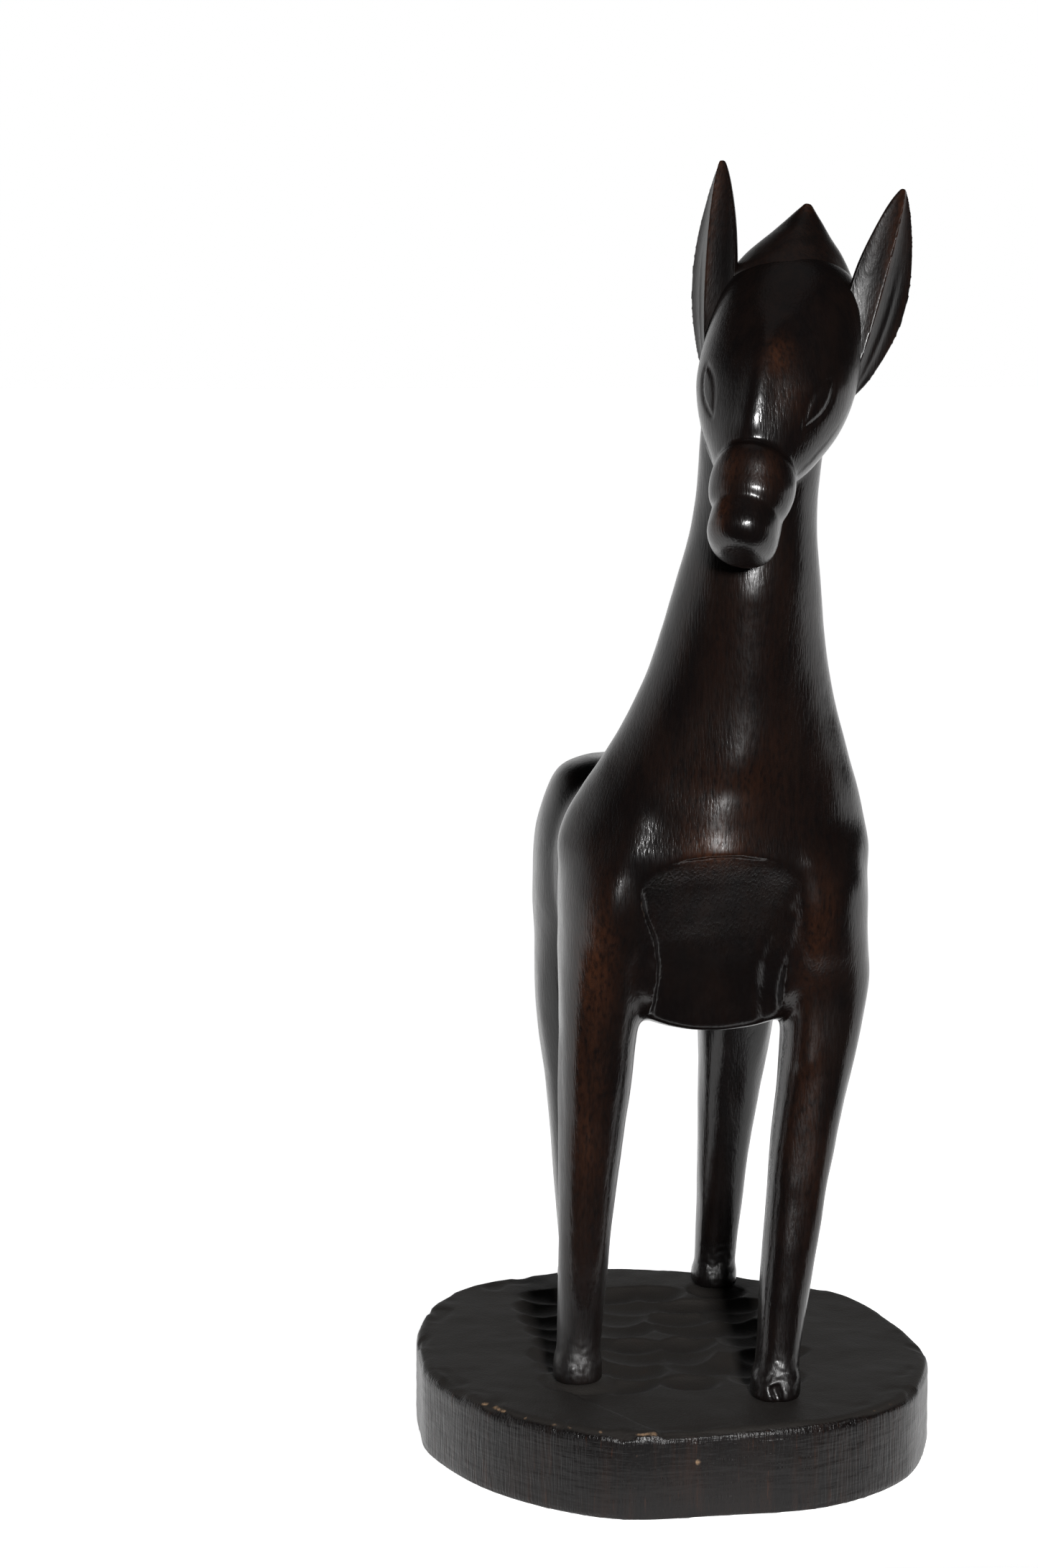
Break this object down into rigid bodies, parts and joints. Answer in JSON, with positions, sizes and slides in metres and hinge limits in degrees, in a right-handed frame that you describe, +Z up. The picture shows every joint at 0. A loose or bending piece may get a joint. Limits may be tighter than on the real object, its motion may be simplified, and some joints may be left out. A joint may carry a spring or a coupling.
{
  "type": "carved giraffe statue",
  "caption": "Dark carved wooden giraffe with a long neck, leaf-shaped ears and a pointed crest, standing on a thick hand-cut oval plinth.",
  "frame": {"origin": "middle of the plinth's flat underside, where the statue rests", "axes": "+Z up, the statue looks along -Y, its left side is +X"},
  "size_m": [0.114, 0.1365, 0.2796],
  "materials": {
    "dark_wood": "dark stained hardwood, waxed to a soft shine",
    "plinth_wood": "dark stained hardwood, gouged on top and left rougher than the statue",
    "peg_wood": "plain unstained hardwood"
  },
  "bodies": {
    "root": {"base": "plinth_wood", "figure": "dark_wood", "left_ear": "dark_wood", "right_ear": "dark_wood", "crest": "dark_wood", "left_ear_peg": "peg_wood", "right_ear_peg": "peg_wood", "crest_peg": "peg_wood", "front_left_peg": "peg_wood", "front_right_peg": "peg_wood", "hind_left_peg": "peg_wood", "hind_right_peg": "peg_wood"}
  },
  "joints": []
}
